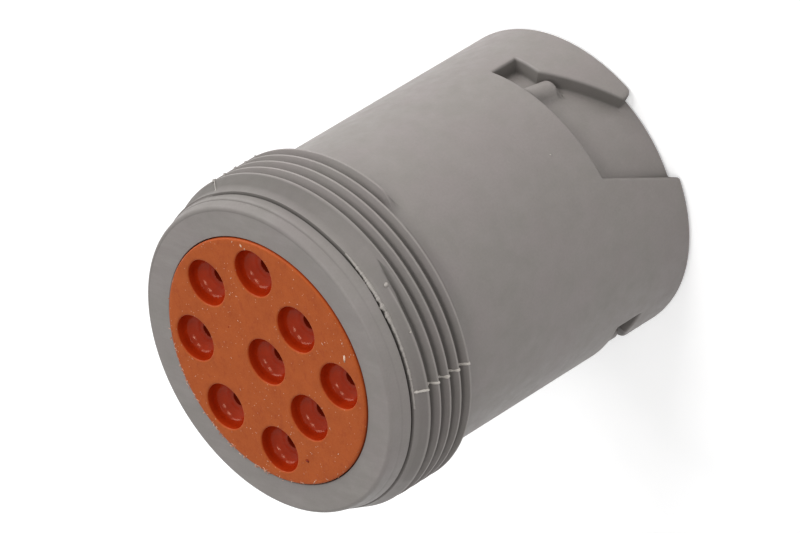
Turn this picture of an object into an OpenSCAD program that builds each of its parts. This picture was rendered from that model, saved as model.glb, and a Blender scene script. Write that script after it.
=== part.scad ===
/* [Shell] */
// Length from the mating rim to the rear ring face
shell_length = 42.7; // [42:0.1:44]
// Outside radius of the plain barrel
barrel_r = 16.05; // [15.9:0.05:16.2]
// Radius of the rear bore that holds the seal and the inserts
rear_bore_r = 13; // [12.95:0.05:13.2]
// Inside radius of the mating hood
hood_r = 13.2; // [13.1:0.05:13.3]
// Outside radius of the nose at the groove behind it
nose_r = 16.5; // [16.4:0.05:16.6]
// Angle at which the nose narrows towards the ring face
nose_taper = 15; // [10:1:18]
// Radius of the rounded edge of the ring face
nose_round = 0.7; // [0.5:0.1:0.9]

/* [Rear thread] */
// Radius over the thread crests
thread_r = 17.4; // [17.2:0.05:17.5]
// Distance from one crest to the next
thread_pitch = 1.411; // [1.2:0.001:1.45]
// Number of grooves between the crests
thread_grooves = 4; // [3:1:4]
// Distance from the ring face to the start of the threaded band
thread_start = 2.15; // [2:0.01:2.3]
// Radius of the threaded band at its start
land_front_r = 16.62; // [16.55:0.01:16.8]
// Width of the conical land before the first crest
thread_land = 2.26; // [2.1:0.01:2.4]

/* [Bayonet tracks] */
// Number of tracks round the shell
track_count = 3; // [2:1:3]
// Depth of a track below the barrel
track_depth = 1.55; // [1.2:0.05:1.6]
// Height of the edge nearest the thread above the mating rim
track_top = 9; // [8.8:0.05:9.4]
// Height of the locking pocket's lower wall at its closed end
pocket_base = 5.8; // [5.4:0.1:6]
// Angle of the entry edge at the rim
mouth_start = 14.7; // [13:0.1:16]
// Angle where the entry edge meets the top edge
entry_end = 29.1; // [27:0.1:31]
// Angle of the blunt tip of the cam wall
cam_start = 48.4; // [47:0.1:50]
// Height of the cam wall at its blunt tip
cam_tip = 1.5; // [1.3:0.1:1.7]
// Angle where the cam wall meets the pocket
cam_end = 75; // [73:0.1:76]
// Height where the cam wall meets the pocket
cam_high = 6.1; // [5.9:0.1:6.3]
// Angle of the closed end of the pocket
pocket_end = 86.6; // [85:0.1:88]
// Angle of the rounded detent ridge
ridge_angle = 68.8; // [67:0.1:70]
// Radius of the detent ridge
ridge_r = 0.75; // [0.6:0.05:0.9]
// Distance of the ridge's centre above the track's floor
ridge_lift = 0.35; // [0.2:0.05:0.5]

/* [Keys in the hood] */
// Distance that the keys stand in from the hood wall
key_height = 0.8; // [0.5:0.05:0.9]
// Width of the main key
main_key_w = 3; // [2.4:0.1:3.4]
// Width of each minor key
minor_key_w = 1.6; // [1.2:0.1:2]

/* [Contacts] */
// Radius of the ring on which six contacts stand
ring_r = 9.525; // [9.4:0.005:9.6]
// Radius of the mating pin
pin_r = 0.795; // [0.75:0.005:0.8]
// Height of the pin tips above the mating rim
pin_tip = 7.5; // [6.5:0.1:8.5]

/* [Wire seal] */
// Radius of the seal's face
seal_r = 12.9; // [12.8:0.01:12.95]
// Distance that the seal stands out of the ring face
seal_proud = 0.22; // [0.1:0.02:0.4]
// Radius of the mouth of a wire hole
mouth_r = 2.4; // [2.2:0.05:2.5]
// Depth of the straight wall of the mouth
mouth_depth = 0.95; // [0.8:0.05:1.1]
// Radius where the funnel of a wire hole turns down into its throat
throat_r = 1.07; // [1:0.01:1.2]
// Radius of the sealing lips inside a wire hole
lip_r = 0.7; // [0.6:0.05:0.8]
// Radius of the chambers between the lips
chamber_r = 1.6; // [1.4:0.05:1.7]

/* [Hidden] */

$fn = 96;

// Three colours of plastic and rubber, and the plating of the contacts
shell_grey = [0.50, 0.47, 0.46];
seal_orange = [0.64, 0.29, 0.15];
insert_black = [0.17, 0.17, 0.18];
contact_silver = [0.80, 0.78, 0.73];

// Heights of the inner parts above the mating rim
hood_floor = 16.5;
shoulder_top = 18.5;
retainer_base = 25;
seal_base = 31;
seal_top = shell_length + seal_proud;

// The shoulder of the shell and the inserts that seat on it
shoulder_r = 11.85;
spigot_r = 11.8;
insert_r = 12.95;
insert_edge = 0.2;
seat_gap = 0.02;
hood_lead = 0.45;
rim_round = 0.35;
bore_chamfer = 0.06;

// Groove between the nose and the threaded band
undercut_w = 0.22;
undercut_r = nose_r - 0.35;

// The 60 degree thread form, with flat crests and roots
crest_flat = thread_pitch / 8;
root_flat = thread_pitch / 5;
thread_depth = (thread_pitch - crest_flat - root_flat) / 2 * tan(60);
band_top = shell_length - thread_start;
first_crest = band_top - thread_land;
last_crest = first_crest - thread_grooves * thread_pitch;

// Tracks: the cylinder that is their floor, and the angle from one to the next
track_floor_r = barrel_r - track_depth;
track_span = 360 / track_count;
cam_rise = (cam_high - cam_tip) / (cam_end - cam_start);

// Angles of the keys, the main one first, and how far they stand back from the rim
key_angles = [0, 105, 140, 220, 255];
key_setback = 1.5;

// Nine contact places: centre, six on the ring, two on a smaller ring
inner_r = ring_r * cos(45);
places = [
    [0, 0], [ring_r, 0], [ring_r, 90], [ring_r, 135], [ring_r, 180],
    [ring_r, 225], [ring_r, 270], [inner_r, 315], [inner_r, 45]
];

// The soft face on the front insert, and its boss round each pin
face_thickness = 1.3;
boss_height = 1.2;
boss_tip_r = 1.35;
boss_root_r = 1.62;

// Contact radii and heights
pin_root_r = 1;
pin_hole_r = 1.02;
body_r = 1.2;
body_hole_r = 1.25;
collar_r = 1.6;
collar_hole_r = 1.9;
retainer_hole_r = collar_r + 0.05;
crimp_barrel_r = 1.15;
crimp_r = 0.85;
body_base = 18;
collar_base = 22.5;
collar_top = 23.7;
contact_end = 30.6;
crimp_depth = 5.5;
sight_hole_r = 0.35;

// Points of an arc about a centre, from one angle to another
function arc(centre, radius, from, to, steps) =
    [for (i = [0:steps]) let (a = from + (to - from) * i / steps)
        centre + radius * [cos(a), sin(a)]];

// Section of the shell through its axis
function thread_points() = [
    for (k = [thread_grooves:-1:1]) let (z = first_crest - k * thread_pitch)
        each [
            [thread_r, z - crest_flat / 2],
            [thread_r, z + crest_flat / 2],
            [thread_r - thread_depth, z + (thread_pitch - root_flat) / 2],
            [thread_r - thread_depth, z + (thread_pitch + root_flat) / 2]
        ]
];

module shell_section() {
    run_out = (thread_r - barrel_r) * tan(30);
    nose_base = band_top + undercut_w;
    round_z = shell_length - nose_round;
    round_r = nose_r - (round_z - nose_base) * tan(nose_taper) - nose_round / cos(nose_taper);
    polygon(concat(
        [[hood_r + hood_lead, 0]],
        arc([barrel_r - rim_round, rim_round], rim_round, -90, 0, 4),
        [[barrel_r, last_crest - crest_flat / 2 - run_out]],
        thread_points(),
        [
            [thread_r, first_crest - crest_flat / 2],
            [thread_r, first_crest + crest_flat / 2],
            [land_front_r, band_top],
            [undercut_r, band_top],
            [undercut_r, nose_base],
            [nose_r, nose_base]
        ],
        arc([round_r, round_z], nose_round, nose_taper, 90, 8),
        [
            [rear_bore_r + bore_chamfer, shell_length],
            [rear_bore_r, shell_length - bore_chamfer],
            [rear_bore_r, shoulder_top],
            [shoulder_r, shoulder_top],
            [shoulder_r, hood_floor],
            [hood_r, hood_floor],
            [hood_r, hood_lead]
        ]
    ));
}

// Sector of a track, bounded by two angles and two heights
module track_sector(from, to, low, high) {
    rotate([0, 0, from]) rotate_extrude(angle = to - from)
        translate([track_floor_r - 1, low]) square([track_depth + 2, high - low]);
}

// Part of a track with slanting walls, drawn on the plane that touches the barrel at an angle
module track_plane(angle, points) {
    rotate([90, 0, angle + 90]) linear_extrude(height = barrel_r + 2)
        polygon([for (p = points) [barrel_r * sin(p[0] - angle), p[1]]]);
}

// One track: a mouth at the rim, a slanting entry edge, a cam wall and a locking pocket
module track_cut() {
    lap = 3;
    fall = track_top / (entry_end - mouth_start);
    sill = (cam_high - pocket_base) / (pocket_end - cam_end);
    difference() {
        union() {
            track_plane(entry_end, [
                [mouth_start - 1 / fall, -1], [entry_end + lap, -1],
                [entry_end + lap, track_top - 1], [entry_end, track_top]
            ]);
            track_sector(entry_end + 1, cam_start - 1, -1, cam_high + 0.7);
            track_plane((cam_start + cam_end) / 2, [
                [cam_start - lap, -1], [cam_start + 1.8, -1], [cam_start + 1.6, 0.1],
                [cam_start + 0.5, 0.5], [cam_start, 1.1], [cam_start, cam_tip],
                [cam_end + lap, cam_high + lap * cam_rise],
                [cam_start - lap, cam_high + lap * cam_rise]
            ]);
            difference() {
                track_sector(entry_end, pocket_end, pocket_base - 0.5, track_top);
                track_plane(pocket_end, [
                    [cam_end - 2 * lap, cam_high + 2 * lap * sill],
                    [pocket_end + lap, pocket_base - lap * sill],
                    [pocket_end + lap, 0], [cam_end - 2 * lap, 0]
                ]);
            }
        }
        translate([0, 0, -2]) cylinder(r = track_floor_r, h = track_top + 4);
    }
}

// Rounded ridge across the pocket, which a lug snaps over
module detent_ridge() {
    low = cam_tip + cam_rise * (ridge_angle - cam_start) - 0.6;
    rotate([0, 0, ridge_angle]) translate([track_floor_r + ridge_lift, 0, low])
        cylinder(r = ridge_r, h = track_top + 0.2 - low, $fn = 32);
}

// A polarising key on the hood's wall
module key_rib(width) {
    span = width / hood_r * 180 / PI;
    rotate([0, 0, -span / 2]) rotate_extrude(angle = span)
        translate([hood_r - key_height, key_setback])
            square([key_height + 0.3, hood_floor - key_setback + 0.3]);
}

// The shell: one moulding with its tracks, ridges and keys
module shell() {
    color(shell_grey) union() {
        difference() {
            rotate_extrude() shell_section();
            for (i = [0:track_count - 1]) rotate([0, 0, i * track_span]) track_cut();
        }
        for (i = [0:track_count - 1]) rotate([0, 0, i * track_span]) detent_ridge();
        for (i = [0:len(key_angles) - 1]) rotate([0, 0, key_angles[i]])
            key_rib(i == 0 ? main_key_w : minor_key_w);
    }
}

// Moves its children to each of the nine contact places
module at_places() {
    for (p = places) at_place(p) children();
}

module at_place(p) {
    rotate([0, 0, p[1]]) translate([p[0], 0, 0]) children();
}

// Section of one wire hole: mouth, funnel and three sealing lips
module wire_hole_section() {
    edge = 0.15;
    throat_depth = mouth_depth + 0.95;
    first_lip = throat_depth + 0.4;
    lip_w = 0.6;
    lip_slope = 0.9;
    seal_depth = seal_top - seal_base;
    lip_gap = (seal_depth - first_lip - lip_w) / 3;
    lip_points = [for (k = [0:2]) let (d = first_lip + k * lip_gap)
        each [
            [lip_r, -d], [lip_r, -d - lip_w],
            [chamber_r, -d - lip_w - lip_slope], [chamber_r, -d - lip_gap + lip_slope]
        ]];
    translate([0, seal_top]) polygon(concat(
        [
            [0, 1], [mouth_r + edge, 1], [mouth_r + edge, 0], [mouth_r, -edge],
            [mouth_r, -mouth_depth], [mouth_r - 0.2, -mouth_depth - 0.3],
            [throat_r, -throat_depth], [throat_r - 0.22, -throat_depth - 0.18]
        ],
        lip_points,
        [[chamber_r, -seal_depth - 1], [0, -seal_depth - 1]]
    ));
}

// The wire seal: a plug with three sealing beads round it and nine wire holes
module wire_seal() {
    bead_r = rear_bore_r - 0.03;
    neck_r = rear_bore_r - 0.45;
    bead_half = 0.3;
    bead_foot = 0.9;
    edge = 0.2;
    head = 1.8;
    color(seal_orange) difference() {
        rotate_extrude() polygon(concat(
            [[0, seal_base], [neck_r - edge, seal_base], [neck_r, seal_base + edge]],
            [for (z = [2.2:3:8.2]) each [
                [neck_r, seal_base + z - bead_foot], [bead_r, seal_base + z - bead_half],
                [bead_r, seal_base + z + bead_half], [neck_r, seal_base + z + bead_foot]
            ]],
            [[neck_r, seal_top - head - 0.4], [seal_r, seal_top - head]],
            arc([seal_r - edge, seal_top - edge], edge, 0, 90, 4),
            [[0, seal_top]]
        ));
        at_places() rotate_extrude($fn = 48) wire_hole_section();
    }
}

// Finger collet that snaps behind a contact's collar
module collet() {
    tip = collar_top + 0.05;
    root = retainer_base + insert_edge;
    finger_r = collar_hole_r - 0.08;
    hook_r = crimp_barrel_r + 0.06;
    slot_w = 0.5;
    slot_length = 2 * collar_hole_r + 2;
    difference() {
        rotate_extrude($fn = 48) polygon([
            [hook_r, tip], [finger_r - 0.25, tip], [finger_r, tip + 0.3],
            [finger_r, root], [retainer_hole_r, root],
            [retainer_hole_r, tip + 0.9], [hook_r, tip + 0.4]
        ]);
        for (a = [45, 135]) rotate([0, 0, a])
            translate([-slot_length / 2, -slot_w / 2, tip - 1])
                cube([slot_length, slot_w, retainer_base - tip + 1]);
    }
}

module contact_retainer() {
    color(insert_black) union() {
        difference() {
            rotate_extrude() polygon([
                [0, retainer_base + seat_gap], [insert_r - insert_edge, retainer_base + seat_gap],
                [insert_r, retainer_base + insert_edge], [insert_r, seal_base - insert_edge],
                [insert_r - insert_edge, seal_base - seat_gap], [0, seal_base - seat_gap]
            ]);
            at_places() translate([0, 0, retainer_base - 1])
                cylinder(r = retainer_hole_r, h = seal_base - retainer_base + 2, $fn = 48);
        }
        at_places() collet();
    }
}

module front_insert() {
    seat = shoulder_top + seat_gap;
    through = retainer_base - hood_floor + 2;
    color(insert_black) difference() {
        rotate_extrude() polygon([
            [0, hood_floor], [spigot_r - insert_edge, hood_floor], [spigot_r, hood_floor + insert_edge],
            [spigot_r, seat], [insert_r - insert_edge, seat], [insert_r, seat + insert_edge],
            [insert_r, retainer_base], [0, retainer_base]
        ]);
        at_places() {
            translate([0, 0, hood_floor - 1]) cylinder(r = pin_hole_r, h = through, $fn = 32);
            translate([0, 0, body_base]) cylinder(r = body_hole_r, h = through, $fn = 32);
            translate([0, 0, collar_base]) cylinder(r = collar_hole_r, h = through, $fn = 32);
        }
    }
}

// Soft face with a conical boss round each pin
module interface_seal() {
    face = hood_floor - face_thickness;
    boss = face - boss_height;
    face_r = spigot_r - 0.3;
    edge = 0.2;
    back = hood_floor - seat_gap;
    color(seal_orange) difference() {
        union() {
            rotate_extrude() polygon([
                [0, face], [face_r - edge, face], [face_r, face + edge], [face_r, back], [0, back]
            ]);
            at_places() translate([0, 0, boss])
                cylinder(r1 = boss_tip_r, r2 = boss_root_r, h = boss_height + 0.1, $fn = 48);
        }
        at_places() translate([0, 0, boss - 1])
            cylinder(r = pin_hole_r, h = hood_floor - boss + 2, $fn = 32);
    }
}

// One turned contact: rounded pin, body, collar and open crimp barrel with a sight hole
module contact(p) {
    free_end = hood_floor - face_thickness - boss_height;
    nose = 1.1;
    body_start = body_base + 0.05;
    collar_start = collar_base + 0.05;
    color(contact_silver) at_place(p) difference() {
        rotate_extrude($fn = 48) polygon(concat(
            [for (i = [0:6]) let (a = 90 * i / 6) [pin_r * sin(a), pin_tip + nose * (1 - cos(a))]],
            [
                [pin_r, free_end], [pin_root_r, free_end + 0.2], [pin_root_r, body_start],
                [body_r, body_start], [body_r, collar_start],
                [collar_r, collar_start], [collar_r, collar_top],
                [crimp_barrel_r, collar_top], [crimp_barrel_r, contact_end], [0, contact_end]
            ]
        ));
        translate([0, 0, contact_end - crimp_depth])
            cylinder(r = crimp_r, h = crimp_depth + 1, $fn = 32);
        translate([0, 0, contact_end - crimp_depth + 0.6]) rotate([0, 90, 0])
            cylinder(r = sight_hole_r, h = 2, $fn = 16);
    }
}

shell();
wire_seal();
contact_retainer();
front_insert();
interface_seal();
contact(places[0]);  // contact_a
contact(places[1]);  // contact_b
contact(places[2]);  // contact_c
contact(places[3]);  // contact_d
contact(places[4]);  // contact_e
contact(places[5]);  // contact_f
contact(places[6]);  // contact_g
contact(places[7]);  // contact_h
contact(places[8]);  // contact_j
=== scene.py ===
import math
import random

import bpy
from mathutils import Matrix, Vector, noise
from mathutils.geometry import delaunay_2d_cdt


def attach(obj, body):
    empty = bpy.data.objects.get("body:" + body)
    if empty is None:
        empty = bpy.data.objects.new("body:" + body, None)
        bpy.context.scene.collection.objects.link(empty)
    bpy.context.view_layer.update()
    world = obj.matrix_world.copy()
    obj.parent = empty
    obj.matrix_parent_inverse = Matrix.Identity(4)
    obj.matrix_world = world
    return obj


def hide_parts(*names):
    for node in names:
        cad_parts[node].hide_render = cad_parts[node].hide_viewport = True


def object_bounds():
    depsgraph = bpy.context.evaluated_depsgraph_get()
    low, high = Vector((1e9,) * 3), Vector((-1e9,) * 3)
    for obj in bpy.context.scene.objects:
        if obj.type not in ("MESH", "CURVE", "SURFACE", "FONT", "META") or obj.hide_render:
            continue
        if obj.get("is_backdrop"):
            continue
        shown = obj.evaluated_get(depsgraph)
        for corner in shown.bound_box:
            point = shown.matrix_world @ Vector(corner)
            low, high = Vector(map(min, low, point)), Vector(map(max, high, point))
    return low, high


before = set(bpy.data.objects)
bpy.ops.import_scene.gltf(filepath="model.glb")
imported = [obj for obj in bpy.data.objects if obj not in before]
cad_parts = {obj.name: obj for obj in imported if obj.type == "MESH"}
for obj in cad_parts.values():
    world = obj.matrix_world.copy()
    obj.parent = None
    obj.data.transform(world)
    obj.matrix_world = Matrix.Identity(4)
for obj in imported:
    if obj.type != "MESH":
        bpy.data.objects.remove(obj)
cad_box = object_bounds()

# Lengths are in millimetres and angles in degrees until a mesh is made
METRES = 0.001

# Shell
BARREL_R = 16.05
RIM_ROUND = 0.35
SHELL_LENGTH = 42.7
NOSE_R = 16.56
NOSE_TAPER = 15
NOSE_ROUND = 0.45
FLAT_R = 15.55
REAR_BORE_R = 13.0
BORE_CHAMFER = 0.06
SHOULDER_R = 11.85
SHOULDER_TOP = 18.5
SHOULDER_ROUND = 0.1
EDGE_ROUND = 0.05
GROOVE_ROUND = 0.04
BORE_ROUND = 0.02
HOOD_R = 13.2
HOOD_FLOOR = 16.5
HOOD_LEAD = 0.45

# Heights of the rows on the hood's wall, close together where the keys end
HOOD_ROWS = (HOOD_FLOOR, 13, 10, 7, 4.5, 2.5, 1.75, 1.6, 1.55, 1.5, 1.45, 1.4, 1.25, 0.9, 0.6)

# Keys on the hood's wall: each has an angle and a width, and lines crowd at its edges
KEY_HEIGHT = 0.8
KEY_END = 1.5
KEY_EDGE = 0.1
KEYS = [(0, 3.0), (105, 1.6), (140, 1.6), (220, 1.6), (255, 1.6)]
KEY_CROWD = (-0.25, -0.1, -0.05, 0, 0.05, 0.1, 0.25)
HOOD_STEP = 4

# Outline of one track on the barrel, as angle and height
TRACK_COUNT = 3
TRACK_SPAN = 360 / TRACK_COUNT
TRACK_DEPTH = 1.55
TRACK_TOP = 9.0
TRACK_FLOOR_R = BARREL_R - TRACK_DEPTH
ENTRY_START = 14.7
ENTRY_END = 29.1
ENTRY_SLOPE = (ENTRY_END - ENTRY_START) / TRACK_TOP
POCKET_BASE = 5.8
POCKET_END = 86.6
CAM_TIP = 1.5
CAM_START = 48.4
CAM_HIGH = 6.1
CAM_END = 75
CAM_SLOPE = (CAM_END - CAM_START) / (CAM_HIGH - CAM_TIP)
CAM_LINE = [
    (-1, 50.2), (0.1, 50.0), (0.5, 48.9), (1.1, CAM_START), (CAM_TIP, CAM_START), (CAM_HIGH, CAM_END)
]
ARC = math.radians(BARREL_R)
TRACK_OUTLINE = [
    (ENTRY_START - ENTRY_SLOPE, -1), (ENTRY_END, TRACK_TOP), (POCKET_END, TRACK_TOP),
    (POCKET_END, POCKET_BASE)
] + [(angle, z) for z, angle in reversed(CAM_LINE)]

# Wall of a track: rounding of its upper edge, slope, and fillet at its foot
WALL_EDGE = 0.3
WALL_WIDTH = 0.05
WALL_FOOT = 0.2

# Detent ridge: a leaning rod along the track's floor with a round end at the cam wall
RIDGE_ANGLE = 69.7
RIDGE_LEAN = 0.75
RIDGE_MIDDLE = 7
RIDGE_R = 1.05
RIDGE_CENTRE_R = TRACK_FLOOR_R + 0.15
RIDGE_BLEND = 0.3
RIDGE_END = 6.15
RIDGE_BLUNT = 1.7

# Rows near the pocket's base lean with its sill: by height, and by angle
SILL_RISE = CAM_HIGH - POCKET_BASE
SILL_ROWS = [(4.5, 0), (5.35, 1), (6.3, 1), (7.2, 0)]
SILL_SHARE = [(40, 0), (62, 1), (CAM_END, 1), (POCKET_END, 0)]

# Grid over the barrel: distances from a wall at which lines crowd, and the counts between the walls
CROWD = (-0.5, -0.3, -0.19, -0.09, -0.02, 0, 0.05, 0.077, 0.15, 0.25, 0.5)
ENTRY_STRETCH = math.hypot(1, ENTRY_SLOPE * ARC)
CAM_STRETCH = math.hypot(1, CAM_SLOPE * ARC)
CAM_TURN = 0.6
ENTRY_FILL = 16
RIDGE_LINES = 16
RIDGE_STEP = 0.6
RIDGE_FIRST = RIDGE_ANGLE - RIDGE_STEP * (RIDGE_LINES - 1) / 2
RIDGE_GAP = 0.12
CAM_FILL = 5
LAND_FILL = 29
COLUMNS = (ENTRY_FILL + RIDGE_LINES + CAM_FILL + LAND_FILL + 3 * len(CROWD)) * TRACK_COUNT
SEAM_COLUMN = 29
EVEN_FROM = 9.6
EVEN_TO = 20

# Rear thread: right hand, one start at the seam angle
THREAD_R = 17.4
PITCH = 1.411
TURNS = 4
THREAD_DEPTH = 0.84
THREAD_SEAM = 51
FIRST_CREST = 31.95
THREAD_ZONE = 30.7
FOOT_ROWS = 3
LAND_ROWS = 5
START_FROM = 4
START_TURN = 9
FADE_FROM = 333
FADE_TO = 355
FADE_SEEN = 0.6
FADE_ABOVE = 0.3

# Forms of the thread's groove and first flank: distance along the axis from a crest, and depth
GROOVE_HALF = [
    (0, 0), (0.06, 0), (0.10, 0.02), (0.13, 0.06), (0.33, 0.416),
    (0.534, 0.765), (0.57, 0.81), (0.62, 0.835)
]
GROOVE_FORM = GROOVE_HALF + [(PITCH / 2, THREAD_DEPTH)] + [
    (PITCH - dz, depth) for dz, depth in reversed(GROOVE_HALF)
]
FLANK_FORM = [
    (-0.93, 1.35), (-0.88, 1.335), (-0.83, 1.27), (-0.60, 0.883),
    (-0.33, 0.416), (-0.13, 0.06), (-0.10, 0.02), (-0.06, 0), (0, 0)
]

# Conical land before the last crest
LAND_ZONE = 39.8
LAND_TOP = 40.25
LAND_FRONT_R = 16.72
LAND_CONE = 1.9

# Groove between the land and the nose, which strays along the axis and is filled on one side
UNDERCUT_TOP = 40.53
UNDERCUT_R = NOSE_R - 0.35
GROOVE_RISE = [
    (-40, 0), (28, 0), (40, -0.12), (60, 0), (85, 0.02), (100, 0.14), (112, 0.26), (140, 0.26), (180, 0)
]
GROOVE_RAMP = 0.3
FILLED_FROM = 117
FILLED_TO = 160
FILLED_DEPTH = 0.06

# Witness line round the nose, and its strength by angle
WITNESS_Z = 41.5
WITNESS_DEPTH = 0.09
WITNESS_HALF = 0.1
WITNESS_SHARE = [(-20, 0.15), (40, 0.15), (60, 0.6), (75, 0.8), (95, 1), (150, 1), (180, 0.15)]
WITNESS_ROWS = (-0.26, -0.13, -0.05, 0.05, 0.13, 0.26)

# Step on the land where two slides of the mould met
STEP_ANGLE = 116
STEP_HALF = 0.12
STEP_DROP = 0.22
STEP_LOW = 38.05
STEP_LEAN = 3.6
STEP_REACH = 14
STEP_Z = 39.2
STEP_END = 168
STEP_FADE = 15
STEP_RAMP = 0.3
STEP_FRONT = 0.5
STEP_RANGE = (-0.8, 1.1)

# Paint on the shell is -1 where shade is painted dark, 0 where it is plain and 1 where it is pale: parting
# seams, fin, torn edge, flakes and a painted highlight on the crests.
# In a track the painted shade goes by the distance inside the outline, darkest on the walls and at their
# foot, with more of it at the end of the pocket.
WALL_SHADE = [(-0.16, 0), (0.0, -0.75), (0.06, -0.95), (0.14, -0.8), (0.3, -0.1), (0.45, 0)]
END_SHADE = 0.2
END_SHADE_EDGE = -0.1
END_SHADE_FROM = POCKET_END - 2.5
END_SHADE_TURN = 2

# Painted highlight on the crests and painted shade on the thread by the depth below a crest, darkest in
# the groove roots
CREST_HIGHLIGHT = 0.1
THREAD_SHADE = -0.3
THREAD_SHADING = [(0, CREST_HIGHLIGHT), (0.06, THREAD_SHADE), (0.4, THREAD_SHADE), (THREAD_DEPTH, -0.9)]

# Painted shade on the land and the nose, which changes with angle, and the share of it by height
LAND_SHADE = [
    (-40, -0.4), (0, -0.5), (25, -0.3), (40, -0.25), (60, -0.5),
    (80, -0.85), (130, -0.9), (165, -0.4), (200, -0.25)
]
LAND_SHADE_SHARE = [(LAND_ZONE, 0.75), (LAND_TOP - 0.1, 0.5)]
NOSE_SHADE = [(-40, 0), (40, 0), (75, -0.3), (150, -0.3), (190, 0)]
NOSE_SHADE_SHARE = [(UNDERCUT_TOP, 2.2), (41.2, 0.9), (41.7, 1.1), (42.0, 0.9), (42.4, 1.1), (42.7, 1.5)]
# Painted shade in the groove behind the nose, lighter where it is filled, and in the witness line
GROOVE_SHADE = -1.0
FILLED_SHADE = -0.2
WITNESS_SHADE = -0.8

# Mould parting lines across the thread: angle, upper end and paint, and the angle by which they stray
PARTINGS = [(0, LAND_TOP - 0.02, 0.95), (121, 38.3, 0.15), (240, LAND_TOP - 0.02, 0.95)]
PARTING_LEAN = [(37.9, -0.2), (38.4, -1.0), (40.4, 0.2)]
PARTING_WOBBLE = 0.25
PARTING_LOW = FIRST_CREST + 0.2
PARTING_HALF = 0.65
PARTING_HEIGHT = 0.15
PARTING_STEPS = 160

# Fin that stands on the step
FIN_LOW = 38.3
FIN_HALF = 0.3
FIN_HEIGHT = 0.12
FIN_STEPS = 24

# Torn edge along the front of the land: width by angle
BURR_FROM = -6
BURR_TO = 52
BURR_STEP = 0.25
BURR_WIDTH = [(-6, 0.05), (4, 0.14), (20, 0.2), (28, 0.42), (40, 0.42), (52, 0.04)]
BURR_PAINT = 0.45

# How deep seams and torn edges are sunk in the shell
SINK = 0.12

# Small flakes on the shell: angle, height, length, width, thickness and paint
FLAKES = [
    (36.4, 38.95, 0.8, 0.6, 0.14, 0.5),
    (19.5, 38.95, 0.35, 0.3, 0.1, 0.5),
    (45, 12.95, 0.3, 0.25, 0.02, 0.5)
]
FLECK_SIDES = 7
FLECK_REACH = (0.35, 0.55)

# Wire seal: outside
SEAL_R = 12.9
SEAL_BASE = 31
SEAL_TOP = 42.92
SEAL_EDGE = 0.2
SEAL_HEAD = 1.8
NECK_R = 12.55
BEAD_R = 12.97
BEADS = (2.2, 5.2, 8.2)
BEAD_FLAT = 0.3
BEAD_FOOT = 0.9

# Wire seal: holes, each with a mouth, a bowl, and lips at depths below the face
MOUTH_R = 2.4
MOUTH_EDGE = 0.16
MOUTH_RIM = 0.25
BOWL_START = 0.7
BOWL_CENTRE_R = 1.0
BOWL_DEPTH = 1.15
BOWL_STEPS = 13
BOWL_TURN = 7
LIP_R = 0.7
CHAMBER_R = 1.6
LIP_DEPTHS = (2.3, 5.31, 8.31)
LIP_WIDTH = 0.6
LIP_SLOPE = 0.9

# Paint on the rubber by the depth below the face: 1 where it is dusty, -1 where shade is painted in the
# throat of a hole
OUTER_DUST = [(0, 1), (0.6, 0)]
HOLE_DUST_AND_SHADE = [(0, 1), (0.18, 0), (1.85, 0), (1.95, -0.9)]
FACE_DUST = 0.3

# Fibres and crumbs on the seal: angle, radius, length, width and paint
FIBRES = [
    (17, 11.45, 0.95, 0.3, 1.6),
    (95, 12.3, 0.4, 0.3, 1.5),
    (291, 10.4, 0.6, 0.4, -0.9),
    (150, 5.2, 0.3, 0.12, -0.6)
]

# Scattered dust, and the fluff in the gap round the seal
DUST_COUNT = 150
DUST_SIZE = (0.05, 0.12)
DUST_STRETCH = (1, 3.5)
DUST_PAINT = (1.0, 1.5)
DUST_INSET = 0.3
DUST_CLEARANCE = 0.15
FLUFF_COUNT = 90
FLUFF_ANGLE = 235
FLUFF_SPREAD = 40
FLUFF_PLACE = (-0.3, 0.1)
FLUFF_LENGTH = (0.2, 0.6)
FLUFF_WIDTH = 0.1
FLUFF_PAINT = (1.0, 1.4)

# Soft face in the hood
FACE_R = 11.5
FACE_BOTTOM = 15.2
FACE_BACK = 16.48
FACE_ROUND = 0.2
BOSS_BOTTOM = 14.0
BOSS_TIP_R = 1.35
BOSS_TIP_ROUND = 0.12
BOSS_ROOT_R = 1.62
BOSS_FILLET = 0.1
PIN_HOLE_R = 1.02

# Contact places: centre, six on the ring and two nearer the centre
RING_R = 9.525
INNER_R = RING_R * math.cos(math.radians(45))
PLACES = (
    [(0, 0)] + [(RING_R, angle) for angle in (0, 90, 135, 180, 225, 270)] + [(INNER_R, 315), (INNER_R, 45)]
)

# Points round a rubber part and round each hole
PLUG_SIDES = 192
HOLE_SIDES = 64

# Camera fitted to the photograph's round edges: its axes, place and lens
CAMERA_ACROSS = (0.72356917, -0.1267153, -0.67852111)
CAMERA_UP = (-0.23369661, 0.87997857, -0.41355001)
CAMERA_BACK = (0.64948715, 0.45780012, 0.60711242)
CAMERA_PLACE = (530.931, 375.629, 520.207)
CAMERA_LENS = 382.32

# Lamps: direction from the part, distance and side in metres, and power in watts
LAMPS = {
    "side_lamp": ((-0.544, 0.782, 0.158), 0.9, 0.7, 9),
    "front_lamp": ((0.46, 0.24, 0.84), 1.2, 0.25, 2.5),
    "high_lamp": ((0.1, 0.67, 0.73), 1.2, 0.3, 3),
    "low_lamp": ((0.78, 0.6, 0.14), 1.2, 0.5, 2.0)
}
LAMP_TARGET = (0, 0, 0.02)

# Light from the surroundings, and the floor's glow, half side and depth in metres
AMBIENT = 0.5
FLOOR_GLOW = 0.42
FLOOR_HALF = 3.0
FLOOR_DEPTH = 0.0002


def smoothstep(x):
    """Rises smoothly from 0 to 1 while x goes from 0 to 1."""
    x = min(1.0, max(0.0, x))
    return x * x * (3 - 2 * x)


def between(a, b, share):
    return a + (b - a) * share


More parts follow.
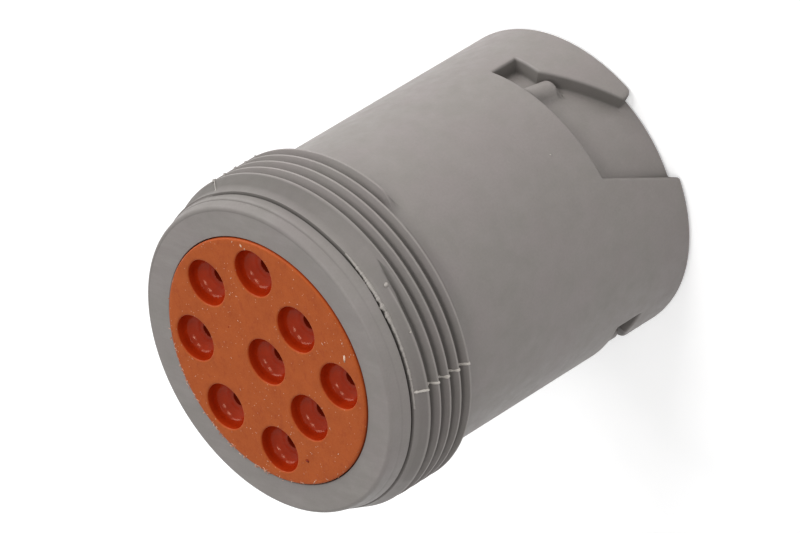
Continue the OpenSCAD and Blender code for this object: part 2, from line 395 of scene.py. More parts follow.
def table(rows, x):
    """Value at x of a table of (x, value) rows, with straight lines between them."""
    for (x0, y0), (x1, y1) in zip(rows, rows[1:]):
        if x <= x1:
            return between(y0, y1, max(0.0, (x - x0) / (x1 - x0)))
    return rows[-1][1]


def around(rows, angle):
    """Value at an angle of a table that covers one turn from its first angle."""
    first = rows[0][0]
    return table(rows, (angle - first) % 360 + first)


def rough_at(*place):
    """Smooth noise from 0 to 1 at a place."""
    return 0.5 + 0.5 * noise.noise(Vector(place))


def polar(radius, angle, z):
    a = math.radians(angle)
    return (radius * math.cos(a), radius * math.sin(a), z)


def add_object(name, data):
    """Adds an object to the scene."""
    thing = bpy.data.objects.new(name, data)
    bpy.context.scene.collection.objects.link(thing)
    return thing


def place_centres():
    """Centres of the contact places."""
    return [polar(ring, angle, 0)[:2] for ring, angle in PLACES]


def circle(radius, z, count, centre=(0, 0)):
    """Points round a circle at height z, anticlockwise seen from above."""
    points = []
    for i in range(count):
        x, y, _ = polar(radius, 360 * i / count, 0)
        points.append((centre[0] + x, centre[1] + y, z))
    return points


def rounded(corners, steps=5):
    """Profile (radius, z) through corners (radius, z, rounding)."""
    profile = []
    for i, (r, z, rounding) in enumerate(corners):
        here = Vector((r, z))
        if not rounding:
            profile.append((r, z))
            continue
        before = (Vector(corners[i - 1][:2]) - here).normalized()
        after = (Vector(corners[i + 1][:2]) - here).normalized()
        half = before.angle(after) / 2
        centre = here + (before + after).normalized() * (rounding / math.sin(half))
        start = here + before * (rounding / math.tan(half)) - centre
        end = here + after * (rounding / math.tan(half)) - centre
        turn = start.angle(end)
        for k in range(steps + 1):
            share = k / steps
            point = (start * math.sin((1 - share) * turn) + end * math.sin(share * turn)) / math.sin(turn)
            profile.append(tuple(centre + point))
    return profile


class Skin:
    """Points in millimetres, faces and paint of one mesh."""

    def __init__(self):
        self.points = []
        self.faces = []
        self.paint = []

    def row(self, points, paint=0.0):
        """Adds points and returns their numbers; paint is one value or one for each point."""
        first = len(self.points)
        self.points += points
        self.paint += paint if isinstance(paint, list) else [paint] * len(points)
        return list(range(first, len(self.points)))

    def loft(self, rows, closed=True):
        """Joins rows of equal length with four-sided faces."""
        for low, high in zip(rows, rows[1:]):
            for c in range(len(low) if closed else len(low) - 1):
                d = (c + 1) % len(low)
                self.faces.append((low[c], low[d], high[d], high[c]))

    def stitch(self, low, low_at, high, high_at):
        """Joins two runs with triangles; the last two lists say how far along each point is."""
        i = 0
        j = 0
        while i < len(low) - 1 or j < len(high) - 1:
            if j == len(high) - 1 or (i < len(low) - 1 and low_at[i + 1] <= high_at[j + 1]):
                self.faces.append((low[i], low[i + 1], high[j]))
                i += 1
            else:
                self.faces.append((low[i], high[j + 1], high[j]))
                j += 1

    def stitch_loops(self, low, low_angles, high, high_angles):
        """Joins two closed loops that begin at about the same angle."""
        self.stitch(
            low + low[:1], low_angles + [low_angles[0] + 360],
            high + high[:1], high_angles + [high_angles[0] + 360]
        )

    def cap(self, outer, holes, hole_radius, upward):
        """Fills the flat face between an outer loop and the loops of its holes."""
        loops = [outer] + holes
        numbers = [n for loop in loops for n in loop]
        flat = [Vector(self.points[n][:2]) for n in numbers]
        edges = []
        first = 0
        for loop in loops:
            edges += [(first + k, first + (k + 1) % len(loop)) for k in range(len(loop))]
            first += len(loop)
        corners, _, triangles, origins, *_ = delaunay_2d_cdt(flat, edges, [], 0, 1e-6)
        for triangle in triangles:
            middle = sum((corners[k] for k in triangle), Vector((0, 0))) / 3
            if any((middle - Vector(centre)).length < hole_radius for centre in place_centres()):
                continue
            face = [numbers[origins[k][0]] for k in triangle]
            a, b, c = (Vector(self.points[n][:2]) for n in face)
            if ((b - a).cross(c - a) > 0) != upward:
                face.reverse()
            self.faces.append(tuple(face))

    def face_outward(self, first):
        """Turns the faces from number first on, which close a solid, to face outward."""
        volume = 0.0
        for face in self.faces[first:]:
            a, b, c = (Vector(self.points[n]) for n in (face[0], face[1], face[-1]))
            volume += a.dot(b.cross(c))
            for m, n in zip(face[1:-1], face[2:-1]):
                volume += Vector(self.points[m]).cross(Vector(self.points[n])).dot(c)
        if volume < 0:
            self.faces[first:] = [tuple(reversed(face)) for face in self.faces[first:]]

    def strip(self, sections):
        """A closed strip through sections of four points, each with its paint."""
        first = len(self.faces)
        rows = [self.row(points, paint) for points, paint in sections]
        self.loft(rows)
        self.faces += [tuple(reversed(rows[0])), tuple(rows[-1])]
        self.face_outward(first)

    def fleck(self, centre, along, out, size, paint, draw):
        """A flat grain on a surface: its place, two directions, and length, width, thickness."""
        length, width, thickness = size
        across = out.cross(along)
        rim = []
        for k in range(FLECK_SIDES):
            a = 2 * math.pi * k / FLECK_SIDES
            reach = draw.uniform(*FLECK_REACH)
            lengthwise = along * (length * reach * math.cos(a))
            rim.append(centre + lengthwise + across * (width * reach * math.sin(a)))
        first = len(self.faces)
        numbers = self.row([tuple(p) for p in rim], paint)
        top, bottom = self.row([tuple(centre + out * thickness), tuple(centre - out * thickness)], paint)
        for m, n in zip(numbers, numbers[1:] + numbers[:1]):
            self.faces += [(m, n, top), (n, m, bottom)]
        self.face_outward(first)

    def build(self, name):
        """Makes the smooth Blender object, in metres."""
        mesh = bpy.data.meshes.new(name)
        mesh.from_pydata([tuple(METRES * v for v in point) for point in self.points], [], self.faces)
        mesh.shade_smooth()
        paint = mesh.attributes.new("paint", "FLOAT", "POINT")
        paint.data.foreach_set("value", self.paint)
        mesh.update()
        piece = add_object(name, mesh)
        smoothing = piece.modifiers.new("even_normals", "WEIGHTED_NORMAL")
        smoothing.weight = 80
        return piece


def wall_depth(inside):
    """Depth below the barrel at a distance inside a track's outline."""
    if inside <= -WALL_EDGE:
        return 0.0
    if inside < 0:
        return WALL_EDGE - math.sqrt(WALL_EDGE ** 2 - (inside + WALL_EDGE) ** 2)
    if inside < WALL_WIDTH:
        return between(WALL_EDGE, TRACK_DEPTH - WALL_FOOT, inside / WALL_WIDTH)
    run = inside - WALL_WIDTH
    if run < WALL_FOOT:
        return TRACK_DEPTH - WALL_FOOT + math.sqrt(WALL_FOOT ** 2 - (WALL_FOOT - run) ** 2)
    return TRACK_DEPTH


def track_distance(angle, z):
    """Distance inside the outline of a track, or minus the distance outside it."""
    x = angle % TRACK_SPAN * ARC
    nearest = math.inf
    inside = False
    for (a0, z0), (a1, z1) in zip(TRACK_OUTLINE, TRACK_OUTLINE[1:] + TRACK_OUTLINE[:1]):
        x0 = a0 * ARC
        run = a1 * ARC - x0
        rise = z1 - z0
        share = ((x - x0) * run + (z - z0) * rise) / (run * run + rise * rise)
        share = min(1.0, max(0.0, share))
        nearest = min(nearest, math.hypot(x - x0 - share * run, z - z0 - share * rise))
        if (z0 > z) != (z1 > z) and x < x0 + run * (z - z0) / rise:
            inside = not inside
    return nearest if inside else -nearest


def ridge_radius(angle, z):
    """Outer radius of the detent ridge, or nothing beside it."""
    turn = math.radians(angle % TRACK_SPAN - RIDGE_ANGLE - RIDGE_LEAN * (z - RIDGE_MIDDLE))
    across = RIDGE_CENTRE_R * math.sin(turn)
    beyond = RIDGE_BLUNT * max(0.0, RIDGE_END - z)
    left = RIDGE_R ** 2 - across ** 2 - beyond ** 2
    if left <= 0 or abs(turn) > 1:
        return 0.0
    return RIDGE_CENTRE_R * math.cos(turn) + math.sqrt(left)


def barrel_surface(angle, z):
    """Radius and painted shade of the shell's outside over the barrel and its tracks."""
    if z > EVEN_FROM:
        return BARREL_R, 0.0
    inside = track_distance(angle, z)
    base = BARREL_R - wall_depth(inside)
    ridge = ridge_radius(angle, z)
    lap = max(0.0, RIDGE_BLEND - abs(base - ridge)) / RIDGE_BLEND
    # Painted shade on the track's walls and at their foot, stronger at the end of the pocket and left off
    # the ridge's top
    painted_shade = table(WALL_SHADE, inside)
    if inside > END_SHADE_EDGE and z > CAM_HIGH - 1:
        painted_shade *= 1 + END_SHADE * smoothstep((angle % TRACK_SPAN - END_SHADE_FROM) / END_SHADE_TURN)
    if ridge > base + RIDGE_BLEND and inside > WALL_WIDTH + WALL_FOOT:
        painted_shade = 0.0
    return max(base, ridge) + lap * lap * RIDGE_BLEND / 4, max(-1.0, painted_shade)


def row_height(z, angle):
    """Height of a row of the grid at an angle."""
    return z + SILL_RISE * table(SILL_ROWS, z) * table(SILL_SHARE, angle % TRACK_SPAN)


def crowd(angle, side, stretch=1.0):
    """Angles of the grid lines round a wall; side is 1 where the track is at larger angles."""
    return sorted(angle + side * s * stretch / ARC for s in CROWD)


def fill(start, end, count):
    """Angles spread evenly between two others, without them."""
    return [between(start, end, (k + 1) / (count + 1)) for k in range(count)]


def span_columns(z):
    """Angles of the grid lines over one track and the land after it."""
    entry = crowd(ENTRY_START + ENTRY_SLOPE * z, 1, ENTRY_STRETCH)
    cam_z = row_height(z, CAM_END)
    stretch = between(1.0, CAM_STRETCH, min(1.0, max(0.0, (CAM_HIGH - cam_z) / CAM_TURN)))
    cam = crowd(table(CAM_LINE, cam_z), -1, stretch)
    end = crowd(POCKET_END, -1)
    ridge_from = RIDGE_FIRST + RIDGE_LEAN * (cam_z - RIDGE_MIDDLE)
    ridge = [
        min(ridge_from + RIDGE_STEP * k, cam[0] - RIDGE_GAP * (RIDGE_LINES - k) * stretch / ARC)
        for k in range(RIDGE_LINES)
    ]
    return (
        entry + fill(entry[-1], ridge[0], ENTRY_FILL) + ridge + cam + fill(cam[-1], end[0], CAM_FILL)
        + end + fill(end[-1], entry[0] + TRACK_SPAN, LAND_FILL)
    )


def even_angle(column):
    """Angle of a grid line above the tracks; the two beside the step lie close to it."""
    angle = THREAD_SEAM + 360 * column / COLUMNS
    away = angle - STEP_ANGLE
    return STEP_ANGLE + math.copysign(STEP_HALF, away) if abs(away) < 360 / COLUMNS else angle


def groove_fill(angle):
    """How far the groove behind the nose is filled at an angle."""
    return smoothstep((angle - FILLED_FROM) / 1.5) * smoothstep((FILLED_TO - angle) / 12)


def step_lean(z):
    """Angle by which the step on the land leans at a height."""
    lowest, highest = STEP_RANGE
    return STEP_LEAN * max(lowest, min(highest, STEP_Z - z))


def band_point(column, radius, z):
    """Point on the threaded band, the groove or the nose, with the faults that the mould left."""
    angle = even_angle(column)
    away = angle - STEP_ANGLE
    past = smoothstep((STEP_END - angle) / STEP_FADE) if away > 0 else 0.0
    above_land = smoothstep((z - LAND_ZONE) / GROOVE_RAMP)
    below_witness = smoothstep((WITNESS_Z - GROOVE_RAMP - z) / GROOVE_RAMP)
    rise = above_land * below_witness * around(GROOVE_RISE, angle)
    if z <= LAND_TOP:
        step_start = smoothstep((z - STEP_LOW) / STEP_RAMP)
        radius -= STEP_DROP * past * step_start * smoothstep((LAND_TOP + 0.02 - z) / STEP_FRONT)
    elif abs(z - WITNESS_Z) < WITNESS_HALF:
        radius -= WITNESS_DEPTH * around(WITNESS_SHARE, angle)
    elif radius < NOSE_R and z <= UNDERCUT_TOP:
        radius = between(radius, NOSE_R - FILLED_DEPTH, groove_fill(angle))
    turned = angle + step_lean(z) * max(0.0, 1 - abs(away) / STEP_REACH)
    return polar(radius - 0.3 * rise, turned, z + rise)


def columns(z):
    """Angles of all the grid lines at a height, from the thread's seam round the shell."""
    crowded = []
    for turn in range(TRACK_COUNT + 1):
        crowded += [angle + TRACK_SPAN * turn for angle in span_columns(min(z, EVEN_FROM))]
    share = smoothstep((z - EVEN_FROM) / (EVEN_TO - EVEN_FROM))
    return [between(crowded[SEAM_COLUMN + c], even_angle(c), share) for c in range(COLUMNS)]


def land_radius(z):
    """Radius of the cone that the land and the last crests lie on."""
    return between(LAND_FRONT_R, THREAD_R, min(1.0, (LAND_TOP - z) / LAND_CONE))


def thread_radius(turn, z):
    """Radius of the threaded band at a turn in degrees after the seam, and a height."""
    above = z - FIRST_CREST - PITCH * turn / 360
    without_start = THREAD_R - table(FLANK_FORM, above - PITCH)
    if above <= 0:
        full = THREAD_R - table(FLANK_FORM, above)
    elif above >= PITCH * TURNS:
        return land_radius(z)
    else:
        depth = table(GROOVE_FORM, above % PITCH)
        if above > PITCH * (TURNS - 1):
            depth = max(0.0, depth - THREAD_DEPTH * smoothstep((turn - FADE_FROM) / (FADE_TO - FADE_FROM)))
        full = min(THREAD_R - depth, land_radius(z))
    if above < PITCH:
        return between(without_start, full, started(turn))
    return full


def started(turn):
    """How far the first turn of the thread has risen from the barrel."""
    return smoothstep((turn - START_FROM) / START_TURN)


def thread_paint(turn, radius, z, paint):
    """Painted highlight and shade on the thread, plain where a turn has not begun and even where it has
    run out.
    """
    above = z - FIRST_CREST - PITCH * turn / 360
    if above < PITCH:
        on_barrel = above < PITCH + FLANK_FORM[1][0]
        return between(0.0 if on_barrel else paint, paint, started(turn))
    faded = turn > between(FADE_FROM, FADE_TO, FADE_SEEN)
    in_last_groove = above > PITCH * (TURNS - 1) + FADE_ABOVE
    if faded and in_last_groove and radius > land_radius(z) - 0.02:
        return THREAD_SHADE
    return paint


def thread_column(column):
    """Heights and paint of the points on the threaded band at one grid line."""
    turn = 360 * column / COLUMNS
    first = FIRST_CREST + PITCH * turn / 360
    foot = first + FLANK_FORM[0][0]
    heights = [(z, 0) for z in fill(THREAD_ZONE, foot, FOOT_ROWS)]
    heights += [(first + dz, table(THREAD_SHADING, depth)) for dz, depth in FLANK_FORM[:-1]]
    for k in range(TURNS):
        start = first + PITCH * k
        heights += [(start + dz, table(THREAD_SHADING, depth)) for dz, depth in GROOVE_FORM[:-1]]
    land = first + PITCH * TURNS
    heights.append((land, CREST_HIGHLIGHT))
    # Painted shade on the land, by angle
    land_shade = around(LAND_SHADE, even_angle(column))
    heights += [(z, land_shade) for z in fill(land, LAND_ZONE, LAND_ROWS)]
    return heights


def shell_top_profile():
    """Profile from the land over the nose and the ring face, and down the rear bore."""
    taper = math.tan(math.radians(NOSE_TAPER))

    def nose_r(z):
        return NOSE_R - (z - UNDERCUT_TOP) * taper

    return rounded([
        (land_radius(LAND_ZONE), LAND_ZONE, 0),
        (LAND_FRONT_R, LAND_TOP, EDGE_ROUND),
        (UNDERCUT_R, LAND_TOP, GROOVE_ROUND),
        (UNDERCUT_R, UNDERCUT_TOP, GROOVE_ROUND),
        (NOSE_R, UNDERCUT_TOP, EDGE_ROUND),
        *((nose_r(WITNESS_Z + dz), WITNESS_Z + dz, 0) for dz in WITNESS_ROWS),
        (nose_r(SHELL_LENGTH), SHELL_LENGTH, NOSE_ROUND),
        (FLAT_R, SHELL_LENGTH, 0),
        (REAR_BORE_R + BORE_CHAMFER, SHELL_LENGTH, BORE_ROUND),
        (REAR_BORE_R, SHELL_LENGTH - BORE_CHAMFER, BORE_ROUND),
        (REAR_BORE_R, SHOULDER_TOP, SHOULDER_ROUND),
        (SHOULDER_R, SHOULDER_TOP, SHOULDER_ROUND),
        (SHOULDER_R, HOOD_FLOOR, 0)
    ], steps=8)


def nose_paint(radius, z, angle):
    """Painted shade on the land's front, in the groove behind the nose, in the witness line and on the
    nose.
    """
    if radius > NOSE_R + 0.02:
        return around(LAND_SHADE, angle) * table(LAND_SHADE_SHARE, z)
    if z < UNDERCUT_TOP + 0.02:
        return between(GROOVE_SHADE, FILLED_SHADE, groove_fill(angle))
    if abs(z - WITNESS_Z) < WITNESS_HALF:
        return WITNESS_SHADE * around(WITNESS_SHARE, angle)
    if radius < FLAT_R + 0.01:
        return 0.0
    return around(NOSE_SHADE, angle) * table(NOSE_SHADE_SHARE, z)


def hood_columns():
    """Angles of the grid lines in the hood, crowded at the edges of the keys."""
    edges = []
    for angle, width in KEYS:
        half = math.degrees(width / 2 / HOOD_R)
        for edge in (angle - half, angle + half):
            edges += [edge + math.degrees(s / HOOD_R) for s in KEY_CROWD]
    turned = sorted((angle - THREAD_SEAM) % 360 for angle in edges)
    angles = [0.0]
    for angle in turned + [360.0]:
        gap = angle - angles[-1]
        angles += fill(angles[-1], angle, int(gap / HOOD_STEP))
        angles.append(angle)
    return [THREAD_SEAM + angle for angle in angles[:-1]]


def hood_radius(angle, z):
    """Radius of the hood's wall, which is smaller on a key."""
    height = 0.0
    for key, width in KEYS:
        away = abs((angle - key + 180) % 360 - 180)
        inside = min(width / 2 - math.radians(away) * HOOD_R, z - KEY_END)
        height = max(height, KEY_HEIGHT * smoothstep((inside + KEY_EDGE) / (2 * KEY_EDGE)))
    return HOOD_R - height


def barrel_heights():
    """Height of each row from the rim to the foot of the thread, and its distance inside the barrel."""
    turns = [math.radians(15 * k) for k in range(7)]
    rim = [(RIM_ROUND * (1 - math.cos(a)), RIM_ROUND * (1 - math.sin(a))) for a in turns]
    plain = [0.5 + 0.2 * k for k in range(24)] + [POCKET_BASE + s for s in CROWD] + [6.7, 7.2, 7.7, 8.2]
    plain += [TRACK_TOP - s for s in reversed(CROWD)] + [10.5, 12, 14, 16.5, 20, 24, 28, THREAD_ZONE]
    return rim + [(z, 0.0) for z in plain]


def add_barrel(skin):
    """Adds the outside from the rim to the foot of the thread, and returns its rows."""
    rows = []
    for z, inset in barrel_heights():
        points = []
        paint = []
        for angle in columns(z):
            height = row_height(z, angle)
            radius, painted_shade = barrel_surface(angle, height)
            points.append(polar(radius - inset, angle, height))
            paint.append(painted_shade)
        rows.append(skin.row(points, paint))
    skin.loft(rows)
    return rows


def add_thread(skin):
    """Adds the points of the threaded band and returns its rows, which climb with the helix."""
    forms = [thread_column(c) for c in range(COLUMNS)]
    rows = []
    for level in zip(*forms):
        points = []
        paint = []
        for c, (z, value) in enumerate(level):
            turn = 360 * c / COLUMNS
            radius = thread_radius(turn, z)
            points.append(band_point(c, radius, z))
            paint.append(thread_paint(turn, radius, z, value))
        rows.append(skin.row(points, paint))
    return rows


def add_top(skin):
    """Adds the nose, the ring face and the rear bore, and returns their rows."""
    rows = []
    for radius, z in shell_top_profile():
        points = [band_point(c, radius, z) for c in range(COLUMNS)]
        paint = [nose_paint(radius, z, even_angle(c)) for c in range(COLUMNS)]
        rows.append(skin.row(points, paint))
    skin.loft(rows)
    return rows


def close_seam(skin, rows):
    """Joins the last column of the threaded band to the first one, which is a turn of the helix up."""

    def run(column, first, last):
        """Numbers and heights of part of one column."""
        numbers = [row[column] for row in rows[first:last + 1]]
        return numbers, [skin.points[n][2] for n in numbers]

    one_turn = len(GROOVE_FORM) - 1
    crest = FOOT_ROWS + len(FLANK_FORM)
    land = crest + one_turn * TURNS
    last_row = len(rows) - 1
    skin.stitch(*run(0, 0, crest + one_turn), *run(COLUMNS - 1, 0, crest))
    for i in range(crest, land - one_turn):
        left = [row[COLUMNS - 1] for row in rows[i:i + 2]]
        right = [row[0] for row in rows[i + one_turn:i + one_turn + 2]]
        skin.faces.append((left[0], right[0], right[1], left[1]))
    skin.stitch(*run(0, land, last_row), *run(COLUMNS - 1, land - one_turn, last_row))


def add_hood(skin, angles):
    """Adds the hood with its keys, down to the rim, and returns its rows."""
    rows = []
    for z in HOOD_ROWS:
        rows.append(skin.row([polar(hood_radius(angle, z), angle, z) for angle in angles]))
    lead = rounded([
        (HOOD_R, 0.9, 0), (HOOD_R, HOOD_LEAD, 0.1), (HOOD_R + HOOD_LEAD, 0, 0.1), (15, 0, 0)
    ], steps=3)
    for radius, z in lead[1:-1]:
        rows.append(skin.row([polar(radius, angle, z) for angle in angles]))
    skin.loft(rows)
    return rows


def make_shell():
    """The moulded shell as one closed skin."""
    skin = Skin()
    barrel = add_barrel(skin)
    thread = add_thread(skin)
    top = add_top(skin)
    band = [barrel[-1]] + thread + [top[0]]
    skin.loft(band, closed=False)
    close_seam(skin, band)
    hood_angles = hood_columns()
    hood = add_hood(skin, hood_angles)
    even = [even_angle(c) for c in range(COLUMNS)]
    skin.stitch_loops(top[-1], even, hood[0], hood_angles)
    skin.stitch_loops(hood[-1], hood_angles, barrel[0], columns(0))
    return skin.build("shell_moulding")


def rib_section(angle, z, half, height):
    """Section of a thin rib across the thread at an angle and a height."""
    radius = thread_radius((angle - THREAD_SEAM) % 360, z)
    return [
        polar(radius - SINK, angle - half, z), polar(radius - SINK, angle + half, z),
        polar(radius + height, angle + 0.35 * half, z), polar(radius + height, angle - 0.35 * half, z)
    ]


def parting_sections(start, top, tone):
    """Sections and paint of the thin raised seam across the thread at one parting line."""
    for k in range(PARTING_STEPS + 1):
        z = between(PARTING_LOW, top, k / PARTING_STEPS)
        wobble = PARTING_WOBBLE * noise.noise(Vector((z * 1.7, start, 0)))
        rough = rough_at(z * 4, start, 3)
        ends = smoothstep(k / 4) * smoothstep((PARTING_STEPS - k) / 4)
        half = PARTING_HALF * (0.5 + rough)
        height = PARTING_HEIGHT * (0.3 + rough) * ends
        angle = start + table(PARTING_LEAN, z) + wobble
        yield rib_section(angle, z, half, height), tone * (0.5 + rough)


def fin_sections():
    """Sections and paint of the fin on the step."""
    for k in range(FIN_STEPS + 1):
        z = between(FIN_LOW, LAND_TOP - 0.05, k / FIN_STEPS)
        rough = rough_at(z * 3, 7, 3)
        ends = smoothstep(k / 3) * smoothstep((FIN_STEPS - k) / 5)
        height = FIN_HEIGHT * (0.4 + rough) * ends
        yield rib_section(STEP_ANGLE + step_lean(z), z, FIN_HALF, height), 0.3 + 0.4 * rough


def burr_sections():
    """Sections and paint of the torn edge along the front of the land."""
    for k in range(round((BURR_TO - BURR_FROM) / BURR_STEP) + 1):
        angle = BURR_FROM + BURR_STEP * k
        coarse = rough_at(angle * 0.6, 5, 0)
        fine = rough_at(angle * 2.1, 9, 0)
        width = table(BURR_WIDTH, angle) * max(0.1, 2.2 * coarse + 1.2 * fine - 0.9)
        back = LAND_TOP - (0.5 * width + 0.1 * fine)
        section = [
            polar(LAND_FRONT_R - SINK, angle, back),
            polar(LAND_FRONT_R + 0.07, angle, back),
            polar(LAND_FRONT_R + 0.05 + 0.04 * fine, angle, LAND_TOP + 0.3 * width),
            polar(LAND_FRONT_R - SINK, angle, LAND_TOP + 0.5 * width)
        ]
        yield section, BURR_PAINT * (0.6 + 0.6 * fine)


def make_flash():
    """Raised seams where the parts of the mould met, the land's torn edge and small flakes."""
    skin = Skin()
    for parting in PARTINGS:
        skin.strip(parting_sections(*parting))
    skin.strip(fin_sections())
    skin.strip(burr_sections())
    draw = random.Random(3)
    for angle, z, length, width, thickness, paint in FLAKES:
        radius = thread_radius((angle - THREAD_SEAM) % 360, z) if z > THREAD_ZONE else BARREL_R
        out = Vector(polar(1, angle, 0))
        centre = Vector(polar(radius + 0.3 * thickness, angle, z))
        skin.fleck(centre, Vector((0, 0, 1)), out, (length, width, thickness), paint, draw)
    return skin.build("mould_flash")


def make_plug(name, outer, hole, cap_top, cap_bottom):
    """Solid of revolution with the same hole at each contact place.

    outer runs from the bottom face up to the top face, hole from the top face down to the bottom
    face. Each is a list of (radius, z, paint), and the caps are the radii where the faces begin.
    """
    skin = Skin()
    outer_rows = [skin.row(circle(r, z, PLUG_SIDES), paint) for r, z, paint in outer]
    skin.loft(outer_rows)
    holes = []
    for centre in place_centres():
        rows = [skin.row(circle(r, z, HOLE_SIDES, centre), paint) for r, z, paint in hole]
        skin.loft(rows)
        holes.append(rows)
    skin.cap(outer_rows[-1], [rows[0] for rows in holes], cap_top * 0.99, True)
    skin.cap(outer_rows[0], [rows[-1] for rows in holes], cap_bottom * 0.99, False)
    return skin.build(name)


def seal_outside():
    """Profile of the wire seal's outside, from its bottom face up to its top face."""
    corners = [(NECK_R - 0.6, SEAL_BASE, 0), (NECK_R, SEAL_BASE, SEAL_EDGE)]
    for bead in BEADS:
        z = SEAL_BASE + bead
        corners += [
            (NECK_R, z - BEAD_FOOT, 0.1), (BEAD_R, z - BEAD_FLAT, 0.2),
            (BEAD_R, z + BEAD_FLAT, 0.2), (NECK_R, z + BEAD_FOOT, 0.1)
        ]
    corners += [
        (NECK_R, SEAL_TOP - SEAL_HEAD - 0.4, 0), (SEAL_R, SEAL_TOP - SEAL_HEAD, 0),
        (SEAL_R, SEAL_TOP, SEAL_EDGE), (SEAL_R - 0.6, SEAL_TOP, 0)
    ]
    return rounded(corners)


def seal_hole():
    """Profile of a wire hole: its mouth, its bowl, and the lips with the chambers between them."""
    corners = [(MOUTH_R + MOUTH_RIM, SEAL_TOP, 0), (MOUTH_R, SEAL_TOP, MOUTH_EDGE)]
    for k in range(BOWL_STEPS):
        a = math.radians(BOWL_TURN * k)
        radius = BOWL_CENTRE_R + (MOUTH_R - BOWL_CENTRE_R) * math.cos(a)
        corners.append((radius, SEAL_TOP - BOWL_START - BOWL_DEPTH * math.sin(a), 0))
    corners.append((LIP_R + 0.04, SEAL_TOP - BOWL_START - BOWL_DEPTH - 0.06, 0.05))
    ends = LIP_DEPTHS[1:] + (SEAL_TOP - SEAL_BASE + LIP_SLOPE,)
    for depth, foot in zip(LIP_DEPTHS, ends):
        lip = SEAL_TOP - depth
        last = depth == LIP_DEPTHS[-1]
        corners += [
            (LIP_R, lip, 0.05), (LIP_R, lip - LIP_WIDTH, 0.1),
            (CHAMBER_R, lip - LIP_WIDTH - LIP_SLOPE, 0.1),
            (CHAMBER_R, SEAL_TOP - foot + LIP_SLOPE, 0 if last else 0.1)
        ]
    return rounded(corners)


def make_wire_seal():
    """The orange rubber plug with its nine wire holes."""

    def dusted_and_shaded(profile, rows):
        """Adds the paint for each point's depth below the face: dust near the face and painted shade in
        the throat.
        """
        return [(r, z, table(rows, SEAL_TOP - z)) for r, z in profile]

    return make_plug(
        "wire_seal_rubber", dusted_and_shaded(seal_outside(), OUTER_DUST), dusted_and_shaded(seal_hole(), HOLE_DUST_AND_SHADE),
        MOUTH_R + MOUTH_RIM, CHAMBER_R
    )


def on_plain_face(x, y):
    """Whether a place on the seal's face is clear of the wire holes."""
    return all(math.hypot(x - c[0], y - c[1]) > MOUTH_R + DUST_CLEARANCE for c in place_centres())


def make_fibres():
    """Dust, crumbs and short fibres on the face of the wire seal."""
    skin = Skin()
    draw = random.Random(11)
    up = Vector((0, 0, 1))

    def lay(angle, radius, length, width, paint):
        centre = Vector(polar(radius, angle, SEAL_TOP))
        along = Vector(polar(1, draw.uniform(0, 180), 0))
        skin.fleck(centre, along, up, (length, width, 0.3 * width), paint, draw)

    for fibre in FIBRES:
        lay(*fibre)
    for k in range(DUST_COUNT):
        angle = draw.uniform(0, 360)
        radius = SEAL_R * math.sqrt(draw.random()) - DUST_INSET
        size = draw.uniform(*DUST_SIZE)
        if on_plain_face(*polar(radius, angle, 0)[:2]):
            lay(angle, radius, size * draw.uniform(*DUST_STRETCH), size, draw.uniform(*DUST_PAINT))
    for k in range(FLUFF_COUNT):
        angle = draw.gauss(FLUFF_ANGLE, FLUFF_SPREAD)
        radius = SEAL_R + draw.uniform(*FLUFF_PLACE)
        lay(angle, radius, draw.uniform(*FLUFF_LENGTH), FLUFF_WIDTH, draw.uniform(*FLUFF_PAINT))
    return skin.build("seal_dust")


def make_interface_seal():
    """The soft face in the hood, with a boss round each pin."""
    outer = rounded([
        (FACE_R - FACE_ROUND - 0.02, FACE_BOTTOM, 0), (FACE_R, FACE_BOTTOM, FACE_ROUND),
        (FACE_R, FACE_BACK, 0)
    ])
    hole = rounded([
        (PIN_HOLE_R, FACE_BACK, 0), (PIN_HOLE_R, BOSS_BOTTOM, BOSS_FILLET),
        (BOSS_TIP_R, BOSS_BOTTOM, BOSS_TIP_ROUND), (BOSS_ROOT_R, FACE_BOTTOM, BOSS_FILLET),
        (BOSS_ROOT_R + BOSS_FILLET, FACE_BOTTOM, 0)
    ])
    return make_plug(
        "interface_seal_rubber", [(r, z, FACE_DUST) for r, z in outer],
        [(r, z, FACE_DUST) for r, z in hole], PIN_HOLE_R, BOSS_ROOT_R + BOSS_FILLET
    )


